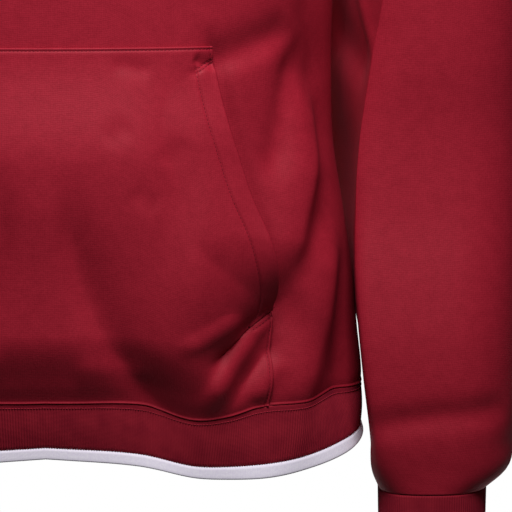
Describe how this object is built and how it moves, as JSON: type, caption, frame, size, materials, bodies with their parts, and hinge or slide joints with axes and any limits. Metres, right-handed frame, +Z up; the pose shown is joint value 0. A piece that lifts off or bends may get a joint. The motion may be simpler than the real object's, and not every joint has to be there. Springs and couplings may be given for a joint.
{
  "type": "hoodie",
  "caption": "Pullover hoodie worn open and hollow, sleeves hanging and hood down, with a kangaroo pocket, ribbed cuffs and a ribbed waistband with a contrast edge.",
  "frame": {"origin": "middle of the neck opening, level with the highest points of the shoulders, where the wearer carries the garment", "axes": "+Z up, -Y the garment's front, +X the wearer's left"},
  "size_m": [0.684, 0.3381, 0.8158],
  "materials": {
    "double_knit": "smooth double-knit jersey with a soft satin sheen",
    "rib_knit": "vertical rib knit, matt",
    "white_rib": "white rib knit edge, matt"
  },
  "bodies": {
    "root": {"front": "double_knit", "back": "double_knit", "sleeve_left": "double_knit", "sleeve_right": "double_knit", "pocket": "double_knit", "hood_left": "double_knit", "hood_right": "double_knit", "waistband": "rib_knit", "cuff_left": "rib_knit", "cuff_right": "rib_knit", "hem_tipping": "white_rib"}
  },
  "joints": []
}
